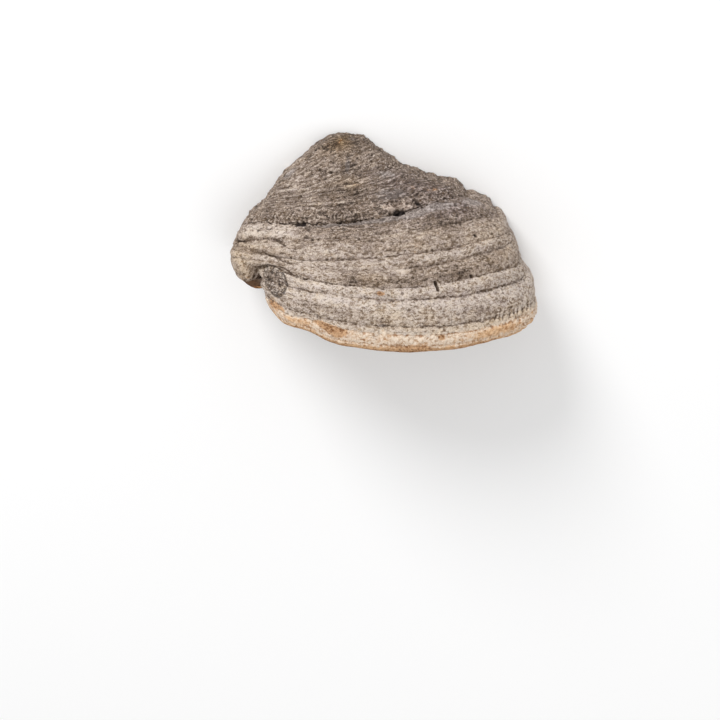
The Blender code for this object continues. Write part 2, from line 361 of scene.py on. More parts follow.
def ease(low, high, value):
    """From 0 at low to 1 at high, smoothly."""
    t = np.clip((value - low) / (high - low), 0, 1)
    return t * t * (3 - 2 * t)


def bell(value, middle, reach):
    """A smooth hump: 1 in the middle, and next to nothing at twice the reach."""
    return np.exp(-((value - middle) / reach) ** 2)


# The form

def signed_power(value, power):
    return np.sign(value) * np.abs(value) ** power


def around(values, angle):
    """A smooth curve through the values at ANGLES, mirrored behind the widest chord."""
    angle = np.where(angle > 90, 180 - angle, np.where(angle < -90, -180 - angle, angle))
    marks = np.array((-110.0,) + ANGLES + (130.0,))
    values = np.array((values[1],) + tuple(values) + (values[-2],))
    i = np.clip(np.searchsorted(marks, angle, side="left") - 1, 1, len(ANGLES) - 1)
    span = marks[i + 1] - marks[i]
    t = (angle - marks[i]) / span
    slope_in = (values[i + 1] - values[i - 1]) / (marks[i + 1] - marks[i - 1]) * span
    slope_out = (values[i + 2] - values[i]) / (marks[i + 2] - marks[i]) * span
    return ((2 * t**3 - 3 * t**2 + 1) * values[i] + (t**3 - 2 * t**2 + t) * slope_in
            + (3 * t**2 - 2 * t**3) * values[i + 1] + (t**3 - t**2) * slope_out)


def groove(number, angle):
    """The points of a groove at angles in degrees: -90 is left, 0 is the front and 90 is right."""
    if number < 0:
        return np.broadcast_to(np.array(TOP), angle.shape + (3,))
    if number >= ZONES:
        return np.broadcast_to(np.array(PORE_END), angle.shape + (3,))
    left, right, chord, front, trunk, fold, heights, _ = GROOVES[number]
    across = signed_power(np.sin(np.radians(angle)), ROUNDNESS)
    forward = signed_power(np.cos(np.radians(angle)), ROUNDNESS)
    width = np.where(angle > FOLD_ANGLE, *FOLD_WIDTHS)
    pull = fold * bell(angle, FOLD_ANGLE, width)
    x = (left + right) / 2 + (right - left) / 2 * across + pull * FOLD_PULL[0]
    y = chord + np.where(forward > 0, front - chord, -trunk) * forward + pull * FOLD_PULL[1]
    z = around(heights, angle)
    for bent, middle, reach, rise in BENDS:
        if number in bent:
            z = z + rise * bell(angle, middle, reach)
    if number in WAVERING:
        wave = np.sin(angle / 5.3 + number * 2.1) + 0.7 * np.sin(angle / 2.3 + number * 4.3)
        z = z + WAVER * wave * ease(FOLD_ANGLE, FOLD_ANGLE + 12.0, angle) * ease(95.0, 80.0, angle)
    return np.stack([x, y, z], -1)


def form(zone, t, angle):
    """Points across a zone, from the groove above (t = 0) to the one below (t = 1)."""
    upper, lower = groove(zone - 1, angle), groove(zone, angle)
    point = upper + (lower - upper) * t
    if zone == ZONES:
        return point
    if zone == 0:
        point[:, 2] = TOP[2] - (TOP[2] - lower[:, 2]) * t**CROWN_SHAPE
    ahead = (groove(zone - 1, angle + 0.1) + groove(zone, angle + 0.1)) / 2
    facing = np.cross(lower - upper, ahead - (upper + lower) / 2)
    facing /= np.linalg.norm(facing, axis=-1, keepdims=True)
    width = np.linalg.norm(lower - upper, axis=-1, keepdims=True)
    swell = GROOVES[zone][-1] * np.minimum(1.0, width / FULL_SWELL_WIDTH)
    if zone > FOLDED:
        swell = swell * ease(FOLD_ANGLE - FOLD_WIDTHS[1], FOLD_ANGLE + FOLD_WIDTHS[0], angle)[:, None]
    return point + facing * swell * (4 * t * (1 - t)) ** SWELL_SHAPE


SCAN = np.linspace(-178, 178, 713)


def row_angles(zone, t, step):
    """Evenly spaced angles along a row, from where it leaves the trunk on the left to the right."""
    points = form(min(zone, ZONES - 1), 1.0 if zone == ZONES else t, SCAN)
    front = len(SCAN) // 2
    behind = points[:, 1] >= 0
    first = front - np.argmax(behind[front::-1])
    last = front + np.argmax(behind[front:])
    ends = []
    for inner, outer in ((first + 1, first), (last - 1, last)):
        share = points[inner, 1] / (points[inner, 1] - points[outer, 1])
        ends.append(SCAN[inner] + (SCAN[outer] - SCAN[inner]) * share)
    angles = np.concatenate([[ends[0]], SCAN[first + 1:last], [ends[1]]])
    points = form(zone, t, angles)
    run = np.concatenate([[0], np.cumsum(np.linalg.norm(np.diff(points, axis=0), axis=1))])
    count = max(2, round(run[-1] / step) + 1)
    return np.interp(np.linspace(0, run[-1], count), run, angles)


def zone_height(zone, widest_angle, share):
    """The height that a zone stays under at this share of the angles around the front."""
    gap = np.linalg.norm(form(zone, 1.0, SCAN) - form(zone, 0.0, SCAN), axis=1)
    return np.quantile(gap[np.abs(SCAN) < widest_angle], share)


def row_places():
    """Each row from the top to the middle of the pore face: its zone, share of it and spacing of points."""
    places = []
    for zone in range(ZONES):
        height = zone_height(zone, 100, 0.8)
        count = max(3, round(height / ROW_STEP))
        for i in range(count):
            share = i / count
            t = share - ROW_CROWDING * math.sin(2 * math.pi * share) / (2 * math.pi)
            places.append((zone, t, COLUMN_STEP))
    for i in range(PORE_ROWS):
        share = i / (PORE_ROWS - 1)
        step = COLUMN_STEP + (PORE_STEP - COLUMN_STEP) * min(1.0, share * 3)
        places.append((ZONES, share**1.3, step))
    return places


def grow_rows():
    """The points of the crust and pore face with their zone, share of it and angle, and where rows start."""
    points, zones, shares, angles, starts = [], [], [], [], [0]
    for zone, t, step in row_places():
        if (zone == 0 and t == 0) or (zone == ZONES and t == 1):
            row = np.array([0.0])
        else:
            row = row_angles(zone, t, step)
        made = form(zone, t, row).copy()
        made[[0, -1], 1] = 0.0
        points.append(made)
        zones.append(np.full(len(row), zone))
        shares.append(np.full(len(row), t))
        angles.append(row)
        starts.append(starts[-1] + len(row))
    return tuple(np.concatenate(a) for a in (points, zones, shares, angles)) + (starts,)


def stitched(starts):
    """Triangles between each row and the next, whose numbers of points differ."""
    triangles = []
    for above, here, below in zip(starts, starts[1:], starts[2:]):
        n, m = here - above, below - here
        i = j = 0
        while i < n - 1 or j < m - 1:
            down = (j + 1) / max(m - 1, 1) if j < m - 1 else 2.0
            level = (i + 1) / max(n - 1, 1) if i < n - 1 else 2.0
            if level <= down:
                triangles.append((above + i, here + j, above + i + 1))
                i += 1
            else:
                triangles.append((above + i, here + j, here + j + 1))
                j += 1
    return triangles


def inside_outline(outline, points):
    """Which points lie inside a closed outline."""
    inside = np.zeros(len(points), bool)
    for a, b in zip(outline, np.roll(outline, -1, axis=0)):
        crosses = (a[1] > points[:, 1]) != (b[1] > points[:, 1])
        slope = (b[0] - a[0]) / (b[1] - a[1]) if a[1] != b[1] else 0.0
        inside ^= crosses & (points[:, 0] < a[0] + (points[:, 1] - a[1]) * slope)
    return inside


def line_distance(start, end, points):
    """How far each point is from a straight line between two ends."""
    run = end - start
    along = np.clip((points - start) @ run / max(run @ run, 1e-9), 0, 1)
    return np.linalg.norm(points - start - along[:, None] * run, axis=1)


def edge_distance(outline, points):
    """How far each point is from a closed outline."""
    nearest = np.full(len(points), np.inf)
    for start, end in zip(outline, np.roll(outline, -1, axis=0)):
        nearest = np.minimum(nearest, line_distance(start, end, points))
    return nearest


def cut_face(points, starts):
    """The flat cut at the trunk: new points, its triangles and its points' distance from the edge."""
    right = [end - 1 for end in starts[2:-1]]
    loop = starts[:-1] + right[::-1]
    outline = points[loop][:, [0, 2]]
    low, high = outline.min(axis=0), outline.max(axis=0)
    grid = np.array([(x, z) for row, z in enumerate(np.arange(low[1], high[1], CUT_ROW_STEP))
                     for x in np.arange(low[0] + (row % 2) * CUT_STEP / 2, high[0], CUT_STEP)])
    grid = grid[inside_outline(outline, grid)]
    grid = grid[edge_distance(outline, grid) > CUT_STEP * 0.5]
    flat = [Vector(p) for p in np.concatenate([outline, grid])]
    placed, _, faces, origins, _, _ = delaunay_2d_cdt(flat, [], [list(range(len(loop)))], 1, 1e-6)
    count = len(points)
    number, added = [], []
    for place, origin in zip(placed, origins):
        if origin and origin[0] < len(loop):
            number.append(loop[origin[0]])
        else:
            number.append(count + len(added))
            added.append((place[0], 0.0, place[1]))
    added = np.array(added)
    triangles = [tuple(number[i] for i in face) for face in faces]
    depth = np.concatenate([np.zeros(count), edge_distance(outline, added[:, [0, 2]])])
    return added, triangles, depth


# The surface, worked on once the form is a mesh

def nearest_groove(zone, share, angle):
    """How far each point is below the nearest groove, and that groove's number and strength."""
    below = np.full(len(zone), 9.0)
    strength = np.zeros(len(zone))
    nearest = np.zeros(len(zone), int)
    for number in range(ZONES):
        for beside, end in ((zone == number, 1.0), (zone == number + 1, 0.0)):
            if number + 1 == ZONES and end == 0.0:
                continue
            a = angle[beside]
            other = number - 1 if end else number + 1
            width = np.linalg.norm(groove(number, a) - groove(other, a), axis=1)
            distance = (share[beside] - end) * width
            closer = np.abs(distance) < np.abs(below[beside])
            below[beside] = np.where(closer, distance, below[beside])
            nearest[beside] = np.where(closer, number, nearest[beside])
            strength[beside] = np.where(closer, np.clip(around(CREASES[number], a), 0, 2), strength[beside])
    return below, nearest, strength


def patch(level, angle, at_level, at_angle, levels, degrees):
    """A soft spot, 1 in its middle."""
    return np.exp(-((level - at_level) / levels) ** 2 - ((angle - at_angle) / degrees) ** 2)


def marked(kind, level, angle):
    """How strongly one kind of mark shows at each point."""
    total = np.zeros(len(level))
    for *where, strength in MARKS[kind]:
        total += strength * patch(level, angle, *where)
    return total


def crack_depth(points, cracks):
    """How deep some cracks are at each point, in millimetres."""
    depth = np.zeros(len(points))
    for half_width, deepest, *places in cracks:
        route = [form(min(int(level), ZONES - 1), level % 1, np.array([turn]))[0] for level, turn in places]
        for start, end in zip(route, route[1:]):
            away = line_distance(start, end, points)
            depth = np.maximum(depth, deepest * bell(away, 0, half_width))
    return depth


def pitted(points, level):
    """Small pits at random places of the crust."""
    rng = np.random.default_rng(5)
    crust = np.flatnonzero((level > 1) & (level < 11.5))
    depth = np.zeros(len(points))
    for middle in rng.choice(crust, PITS, replace=False):
        radius = rng.uniform(*PIT_RADII)
        away = np.linalg.norm(points - points[middle], axis=1) / radius
        depth = np.maximum(depth, rng.uniform(*PIT_DEPTHS) * np.exp(-away**2))
    return depth


def pushed(points, size, amount, seed):
    """Points pushed about by noise, so that what is laid over them wavers."""
    return points + amount * np.stack([noise(points / size + seed + 20 * i) for i in range(3)], -1)


def teeth(layers, points):
    """Rounded teeth side by side along a groove: 1 on a tooth, -1 in the narrow gaps."""
    wave = np.sin(layers[:, 0] * math.pi / TOOTH_PITCH + 1.4 * noise(points / 5))
    return 2 * np.abs(wave) - 1


def overlaps(points, angle, pitch):
    """Downward arcs side by side along a groove, -0.6 to 0.4. The pitch is in degrees."""
    share = (angle / pitch + 0.8 * noise(points / 6 + pitch)) % 1
    return 4 * share * (1 - share) - 0.6


def crease_places(points, layers, angle, below, nearest, strength):
    """How far each point is from the ragged middle of its groove, and how deep that groove is there."""
    stray = STRAYING * (noise(points / 3.0 + 14) + 0.7 * noise(points / 1.3 + 15))
    ragged, reach = RAGGED
    torn = reach * (noise(points / 3.4 + 4) + 0.8 * noise(points / 1.4 + 6))
    stray = np.where(nearest == ragged, torn, stray)
    scalloped, middle, half_width, height = SCALLOPED
    toothed = height * bell(angle, middle, half_width) * teeth(layers, points)
    stray = np.where(nearest == scalloped, stray + toothed, stray)
    stray += np.where(nearest > ragged, overlaps(points, angle, 2.3) * 0.35, 0)
    stray += np.where(nearest > ragged, overlaps(points, angle, 4.4) * ease(28, 45, angle), 0)
    broken = 0.75 + 0.9 * noise(points / 4.2 + 17) + 0.6 * noise(points / 1.5 + 23)
    return below - stray, np.clip(strength * broken, 0, 2)


def ledges(layers):
    """Steps of the old crust: each stands out more and more downwards, then drops back, 0 to 1."""
    total = np.zeros(len(layers))
    for pitch, strays, height in LEDGES:
        place = layers[:, 1] + strays * noise(layers / (16, 7, 16) + pitch)
        share = (place / pitch) % 1
        shown = np.clip(0.75 + 1.1 * noise(layers / (11, 4, 11) + 2 * pitch), 0, 1.2)
        total += height * shown * (share - ease(0.78, 1.0, share))
    return total


def within(level, comes, goes):
    """1 between two stretches of levels, over which it comes in and goes again."""
    return ease(*comes, level) * ease(*goes, level)


def packed(layers, size, noise_size, amount, push_seed, seed):
    """Stones side by side: above 0 on top of them, below 0 in the gaps."""
    return stones(pushed(layers, noise_size, amount, push_seed) / size, seed) - STONE_LEVEL


def weathered_relief(points, layers, rough):
    """Thin layers, crests, lumps and grit, higher where the crust is rough."""
    wavy = pushed(layers, 10.0, 2.4, 50)
    laminae = layered_noise(wavy / (8.0, 1.4, 8.0)) * (0.06 + 0.3 * rough) + ledges(layers) * rough
    crests = (ridges(wavy / (9.0, 2.6, 9.0) + 3) - 0.4) * (0.06 + 0.3 * rough)
    lumps = layered_noise(points / 3.1 + 9) * (0.03 + 0.2 * rough)
    grit = layered_noise(points / 1.35 + 2, 2) * (0.07 + 0.07 * rough)
    return laminae + crests + lumps + grit


def upright_relief(points, layers, level):
    """Upright ridges over the ragged groove, and fine upright fibres below it."""
    folded = (ridges(pushed(layers, 3.0, 0.8, 80) / (2.1, 7.0, 2.1)) - 0.3) * 1.2 * within(level, *HEM)
    folded *= np.clip(0.6 + 0.9 * noise(points / 9 + 33), 0.15, 1)
    return folded + noise(layers / (1.2, 6.0, 1.2) + 7) * 0.14 * within(level, *FIBRES)


def crumbly_relief(points, layers, level, angle):
    """Cream crumbs, and the stones and blocks that the crust is packed of."""
    rise = 0.9 * (ridges(points / 1.7 + 8) - 0.3) * np.clip(marked("cream", level, angle), 0, 1)
    lumpy = np.clip(0.55 + 1.1 * noise(points / 8 + 44), 0, 1.3)
    rise += 0.11 * lumpy * within(level, *STONES) * packed(layers, *STONE)
    rise += 0.17 * ease(25, 45, angle) * within(level, *BIG_STONES) * packed(layers, *BIG_STONE)
    return rise + (0.3 + 0.35 * ease(35, 60, angle)) * within(level, *BLOCKS) * packed(layers, *BLOCK)


def rolled_relief(zone, angle, bulge):
    """Zones that are rolled more than the others."""
    return sum(height * bulge * bell(angle, middle, reach) * ((zone >= first) & (zone <= last))
               for first, last, middle, reach, height in ROLLS)


def knot_relief(points, zone, level, angle, bulge):
    """The crumbly knot, which hides the zones under it: where it is, and how far it stands out."""
    at_level, at_angle, levels, degrees = KNOT
    away = np.hypot((level - at_level) / levels, (angle - at_angle) / degrees)
    knot = np.exp(-away**6)
    swell = np.array([row[-1] for row in GROOVES] + [0.0])[zone]
    crumbs = 0.8 * (stones(pushed(points, 3.0, 0.8, 30) / 2.2, 23) - 0.6) + 0.4 * layered_noise(points / 1.3)
    ditch = 0.7 * bell(away, 1.02, 0.1) * np.clip(0.6 + noise(points / 2 + 70), 0, 1)
    return knot, knot * (0.5 + swell * (1 - bulge) + crumbs) - ditch


def relief(points, zone, share, angle, layers):
    """How far the real surface stands out from the smooth form, and values for the materials."""
    level = zone + share
    bulge = (4 * share * (1 - share)) ** SWELL_SHAPE
    rough = np.interp(level, ROUGH_LEVELS, ROUGHNESS_THERE)
    toothed = patch(level, angle, *TEETH) * teeth(layers, points)
    knot, knotty = knot_relief(points, zone, level, angle, bulge)
    rise = 0.4 * noise(points / 21) + 0.3 * noise(points / 8 + 5) + marked("lump", level, angle)
    rise += weathered_relief(points, layers, rough) + upright_relief(points, layers, level)
    rise += crumbly_relief(points, layers, level, angle) + TOOTH_HEIGHT * toothed
    rise += rolled_relief(zone, angle, bulge) + knotty

    below, nearest, strength = nearest_groove(zone, share, angle)
    off, deep = crease_places(points, layers, angle, below + CREASE_RISE, nearest, strength * (1 - knot))
    creases = deep * (bell(off, 0, CREASE_WIDTH) + 0.25 * bell(off, 0, 3.0 * CREASE_WIDTH))
    hollow = marked("hollow", level, angle) * np.clip(0.9 + 0.9 * noise(points / 1.7 + 40), 0.2, 1.4)
    cracks = crack_depth(points, CRACKS) * np.clip(0.8 + 0.8 * noise(points / 1.4 + 61), 0.2, 1.2)
    cracks = np.maximum(cracks, crack_depth(points, (SLIT,)))
    pits = pitted(points, level)
    folds = crack_depth(points, FOLDS)
    rise -= CREASE_DEPTH * creases + HOLLOW_DEPTH * hollow + cracks + folds + PIT_SCALE * pits
    under = ease(*UNDERSIDE_ANGLES, angle) * ease(*UNDERSIDE_LEVELS, level)
    values = {"level": level, "off_groove": off, "groove": deep, "rough": rough, "hollow": hollow,
              "cracks": cracks, "knot": knot, "pits": pits, "under": under, "folds": folds, "teeth": toothed,
              "fibrous": np.interp(level, FIBROUS_LEVELS, FIBROUS_THERE)}
    for kind in ("dark", "pale", "cream", "warm", "lip", "ochre", "rust", "slate"):
        values[kind] = marked(kind, level, angle)
    return rise * (1 - 0.8 * under), values


def facings(points, triangles):
    """The outward direction at each point."""
    a, b, c = (points[triangles[:, i]] for i in range(3))
    face = np.cross(b - a, c - a)
    total = np.zeros((len(points), 3))
    for corner in range(3):
        for axis in range(3):
            total[:, axis] += np.bincount(triangles[:, corner], face[:, axis], len(points))
    return total / np.maximum(np.linalg.norm(total, axis=1, keepdims=True), 1e-9)


def spread(values, pairs, times):
    """Values at the points, averaged with their neighbours' a number of times."""
    count = np.bincount(pairs.ravel(), minlength=len(values))[:, None] + 1.0
    for _ in range(times):
        total = values.copy()
        for axis in range(3):
            total[:, axis] += np.bincount(pairs[:, 0], values[pairs[:, 1], axis], len(values))
            total[:, axis] += np.bincount(pairs[:, 1], values[pairs[:, 0], axis], len(values))
        values = total / count
    return values


def dips(points, triangles):
    """How far each point lies below its surroundings, in millimetres: close by, and further around."""
    pairs = np.concatenate([triangles[:, [0, 1]], triangles[:, [1, 2]], triangles[:, [2, 0]]])
    pairs = np.unique(np.sort(pairs, axis=1), axis=0)
    facing = spread(facings(points, triangles), pairs, 3)
    near = spread(points, pairs, 2)
    far = spread(near, pairs, 12)
    return [((level_there - points) * facing).sum(axis=1) for level_there in (near, far)]


def give(mesh, name, values):
    """Keep a value, or a vector, at each point for the materials."""
    if values.ndim == 1:
        mesh.attributes.new(name, "FLOAT", "POINT").data.foreach_set("value", values.astype(np.float32))
    else:
        made = mesh.attributes.new(name, "FLOAT_VECTOR", "POINT")
        made.data.foreach_set("vector", values.astype(np.float32).ravel())


def grown_conk():
    points, zone, share, angle, starts = grow_rows()
    crust = stitched(starts)
    depths = np.cumsum([0.0] + [zone_height(zone, 50, 0.5) for zone in range(ZONES)] + [PORE_DEPTH])
    depth = np.interp(zone + share, np.arange(ZONES + 2), depths)
    tilt = TILT * ease(TILT_LEVELS[1], TILT_LEVELS[0], zone + share)
    layers = np.stack([points[:, 0], depth + tilt * np.minimum(points[:, 0] - 5.0, 0), points[:, 1]], -1)
    rise, values = relief(points, zone, share, angle, layers)
    move = facings(points, np.array(crust)) * rise[:, None]
    move[:, 1] *= ease(0, CUT_BLEND, -points[:, 1])
    moved = points + move
    moved[:, 1] = np.minimum(moved[:, 1], 0)
    values["dip"], values["valley"] = dips(moved, np.array(crust))

    added, cut, inner = cut_face(moved, starts)
    mesh = bpy.data.meshes.new("conk_surface")
    mesh.from_pydata(laid_down(np.concatenate([moved, added])).tolist(), [], crust + [t[::-1] for t in cut])
    mesh.update()
    conk = bpy.data.objects.new("conk_surface", mesh)
    bpy.context.scene.collection.objects.link(conk)
    mesh.shade_smooth()
    give(mesh, "layers", np.concatenate([layers, added]))
    for name, value in values.items():
        give(mesh, name, np.concatenate([value, np.zeros(len(added))]))
    give(mesh, "inner", inner)

    kinds = np.zeros(len(mesh.polygons), int)
    rim = starts[[p[0] for p in row_places()].index(ZONES)]
    kinds[:len(crust)] = [min(triangle) >= rim for triangle in crust]
    kinds[len(crust):] = 2
    mesh.polygons.foreach_set("material_index", kinds)
    mesh.attributes.new("sharp_face", "BOOLEAN", "FACE").data.foreach_set("value", kinds == 2)
    mesh.update()
    return conk


# Materials

def paint(red, green, blue):
    """A linear colour from the usual 0 to 255 values."""
    return tuple(((v / 255 + 0.055) / 1.055) ** 2.4 for v in (red, green, blue)) + (1.0,)


DEEP = paint(52, 43, 37)
# the colour of the grime and painted shade in pits, cracks and grooves
SHADE_AND_SOIL = paint(74, 58, 45)
DARK_CRUST = paint(88, 76, 67)
BROWN_CRUST = paint(127, 111, 98)
GREY_CRUST = paint(168, 152, 140)
PALE_CRUST = paint(208, 195, 183)
WARMER = paint(252, 236, 200)
COOLER = paint(240, 240, 251)
SEAM = paint(88, 68, 49)
CREAM_SEAM = paint(158, 104, 58)
CREAM_DARK = paint(142, 98, 62)
CREAM = paint(208, 180, 152)
CREAM_PALE = paint(228, 210, 190)
OCHRE = paint(146, 92, 44)
OCHRE_PALE = paint(218, 178, 136)
RUST = paint(100, 62, 34)
RUST_PALE = paint(200, 158, 118)
SLATE = paint(100, 92, 89)
SLATE_PALE = paint(178, 169, 165)
UNDERSIDE = paint(98, 72, 52)
UNDERSIDE_DARK = paint(62, 42, 28)
CRUMB_DARK = paint(108, 90, 78)
CRUMB = paint(206, 188, 174)
# the painted shade in the holes
HOLLOW_SHADE = paint(50, 43, 40)
PORE_BROWN = paint(134, 108, 84)
PORE_DARK = paint(88, 66, 48)
PORE_PALE = paint(168, 138, 108)
PORE_RIM = paint(176, 128, 82)
CORK = paint(150, 108, 70)
CORK_DARK = paint(104, 70, 44)
CORK_PALE = paint(178, 136, 92)

DULLNESS = 0.9           # the roughness of every surface
SHINE = 0.25             # how strongly the conk reflects
PLATE = (2.5, 1.6, 2.5)  # the size of a plate of the crust
CRUST_TONES = ((0.0, DEEP), (0.25, DARK_CRUST), (0.5, BROWN_CRUST), (0.75, GREY_CRUST), (1.0, PALE_CRUST))
# How pale the crust is, by the share of the levels from the apex to the middle of the pore face: the zones'
# own tones, and beside the grooves at levels 4, 8 and 9 darker just above and paler just below, which is
# painted shade under one zone and a painted highlight on the top of the next
ZONE_TONES = (
    (0.0, 0.31), (0.055, 0.37), (0.08, 0.495), (0.14, 0.52), (0.20, 0.48), (0.275, 0.46), (0.295, 0.60),
    (0.37, 0.61), (0.43, 0.72), (0.51, 0.74), (0.56, 0.65), (0.575, 0.91), (0.61, 0.83), (0.64, 0.80),
    (0.65, 0.92), (0.70, 0.83), (0.72, 0.85), (0.79, 0.94), (0.93, 0.88),
)
# How much paler or darker each value that the mesh keeps makes the crust; valley and folds darken it as
# painted shade in hollows and folds
KEPT_TONES = {"valley": -0.16, "folds": -0.14, "teeth": 0.5, "dark": -0.25, "pale": 0.2, "cream": 0.3}
# Stains: their colour where the tone is dark and where it is pale, how ragged they are, the most they cover
STAINS = {
    "cream": (CRUMB_DARK, CRUMB, 0.8, 0.85),
    "ochre": (OCHRE, OCHRE_PALE, 1.0, 0.8),
    "rust": (RUST, RUST_PALE, 1.0, 0.9),
    "slate": (SLATE, SLATE_PALE, 0.8, 0.6),
}


class Surface:
    """A material and short forms for its nodes."""

    def __init__(self, name):
        self.material = bpy.data.materials.new(name)
        self.material.use_nodes = True
        self.nodes = self.material.node_tree.nodes
        self.links = self.material.node_tree.links
        self.shader = self.nodes["Principled BSDF"]
        self.place = self.sized(self.node("ShaderNodeTexCoord", {}).outputs["Object"], MM)

    def node(self, kind, inputs, **settings):
        made = self.nodes.new(kind)
        for name, value in settings.items():
            setattr(made, name, value)
        for name, value in inputs.items():
            self.feed(made.inputs[name], value)
        return made

    def feed(self, socket, value):
        if isinstance(value, bpy.types.NodeSocket):
            self.links.new(value, socket)
        else:
            socket.default_value = value

    def kept(self, name, output="Fac"):
        """A value, or a vector, that the mesh keeps at its points."""
        return self.node("ShaderNodeAttribute", {}, attribute_name=name).outputs[output]

    def math(self, operation, *values, clamp=False):
        made = self.node("ShaderNodeMath", dict(enumerate(values)), operation=operation, use_clamp=clamp)
        return made.outputs[0]

    def times(self, *values):
        return functools.reduce(lambda total, value: self.math("MULTIPLY", total, value), values)

    def most(self, *values):
        return functools.reduce(lambda total, value: self.math("MAXIMUM", total, value), values)

    def sum(self, start, *terms):
        """A start plus terms, each a value and its weight."""
        for value, weight in terms:
            start = self.math("MULTIPLY_ADD", value, weight, start)
        return start

    def band(self, value, low, high):
        """From 0 where the value is low to 1 where it is high."""
        made = self.node("ShaderNodeMapRange", {"Value": value, "From Min": low, "From Max": high},
                         interpolation_type="SMOOTHSTEP")
        return made.outputs[0]

    def sized(self, vector, sizes):
        """A vector measured in units of the given sizes, one number or one for each axis."""
        sizes = sizes if isinstance(sizes, tuple) else (sizes,) * 3
        shares = tuple(1 / size for size in sizes)
        return self.node("ShaderNodeVectorMath", {0: vector, 1: shares}, operation="MULTIPLY").outputs[0]

    def noise(self, vector, sizes, detail=2.0, roughness=0.5, distortion=0.0):
        """Noise around 0, its sizes given in millimetres."""
        made = self.node("ShaderNodeTexNoise", {"Vector": self.sized(vector, sizes), "Scale": 1.0,
                                                "Detail": detail, "Roughness": roughness,
                                                "Distortion": distortion})
        return self.math("SUBTRACT", made.outputs["Fac"], 0.5)

    def pushed(self, vector, size, amount):
        """A vector pushed about by noise, so that what is laid over it wavers."""
        made = self.node("ShaderNodeTexNoise", {"Vector": self.sized(vector, size), "Scale": 1.0,
                                                "Detail": 1.0})
        return self.node("ShaderNodeVectorMath", {0: made.outputs["Color"], 1: (amount,) * 3, 2: vector},
                         operation="MULTIPLY_ADD").outputs[0]

    def cells(self, vector, sizes, feature="F1"):
        return self.node("ShaderNodeTexVoronoi", {"Vector": self.sized(vector, sizes), "Scale": 1.0},
                         feature=feature)

    def shades(self, vector, sizes):
        """Cells that each have a value of their own, around 0."""
        return self.math("SUBTRACT", self.cells(vector, sizes).outputs["Color"], 0.5)

    def edges(self, vector, sizes):
        """How far it is to the edge of a cell."""
        return self.cells(vector, sizes, "DISTANCE_TO_EDGE").outputs["Distance"]

    def mix(self, share, first, second, blend="MIX"):
        inputs = {0: share, 6: first, 7: second}
        return self.node("ShaderNodeMix", inputs, data_type="RGBA", blend_type=blend).outputs[2]

    def ramp(self, value, *stops):
        made = self.node("ShaderNodeValToRGB", {0: value})
        elements = made.color_ramp.elements
        while len(elements) < len(stops):
            elements.new(0.5)
        for element, (place, colour) in zip(elements, stops):
            element.position = place
            element.color = colour
        return made.outputs["Color"]

    def finish(self, colour, height, bump, depth):
        """The surface's colour and its bumps: their height by node, how strong and how deep they are."""
        self.feed(self.shader.inputs["Base Color"], colour)
        self.shader.inputs["Roughness"].default_value = DULLNESS
        self.shader.inputs["Specular IOR Level"].default_value = SHINE
        bumps = self.node("ShaderNodeBump", {"Height": height, "Strength": bump, "Distance": depth * MM})
        self.feed(self.shader.inputs["Normal"], bumps.outputs[0])
        return self.material


def grey(value):
    """A linear grey."""
    return (value, value, value, 1.0)


def crust_patterns(s):
    """The patterns that the crust's colour and its bumps share."""
    at = SimpleNamespace(layers=s.kept("layers", "Vector"), level=s.kept("level"), rough=s.kept("rough"))
    at.calm = s.band(at.level, 4.4, 6.2)
    at.grit = s.noise(s.place, 0.56, roughness=0.85)
    at.flecks = s.noise(s.place, 1.9, roughness=0.6)
    at.blotches = s.noise(s.place, 6.5, detail=3.0, roughness=0.6)
    at.knot = s.band(s.sum(s.kept("knot"), (at.flecks, 0.8)), 0.25, 0.6)

    wavy = s.pushed(at.layers, 9.0, 3.0)
    fibrous = s.kept("fibrous")
    laid = s.noise(wavy, (5.5, 0.62, 5.5), detail=3.0, roughness=0.6)
    at.fibres = s.noise(s.pushed(at.layers, 3.0, 1.2), (0.65, 3.2, 0.65), roughness=0.6)
    at.streaks = s.sum(s.times(laid, s.math("SUBTRACT", 1.0, fibrous)), (s.times(at.fibres, fibrous), 0.8))
    # painted highlights: thin pale lines along wavy crests where the crust is rough
    crests = s.math("ABSOLUTE", s.noise(wavy, (4.6, 0.9, 4.6), detail=1.0))
    at.light_lines = s.times(s.band(crests, 0.04, 0.0), s.band(at.flecks, -0.02, 0.12), at.rough)

    at.chips = s.shades(s.pushed(at.layers, 1.3, 0.6), (1.3, 0.8, 1.3))
    at.specks = s.times(s.band(at.chips, -0.1, -0.28), at.calm)
    plated = s.pushed(at.layers, 2.6, 1.4)
    at.plates = s.shades(plated, PLATE)
    shown = s.sum(s.noise(s.place, 3.2), (s.kept("knot"), 0.5))
    at.seams = s.times(s.band(s.edges(plated, PLATE), 0.085, 0.03), s.band(shown, -0.05, 0.08),
                       s.band(at.level, 10.6, 9.8))
    blocks = s.edges(s.pushed(at.layers, 2.0, 1.4), (2.4, 3.4, 2.4))
    at.gaps = s.times(s.band(blocks, 0.085, 0.02), s.band(at.level, 9.9, 10.7),
                      s.band(s.noise(s.place, 2.6), -0.12, 0.12))
    return at


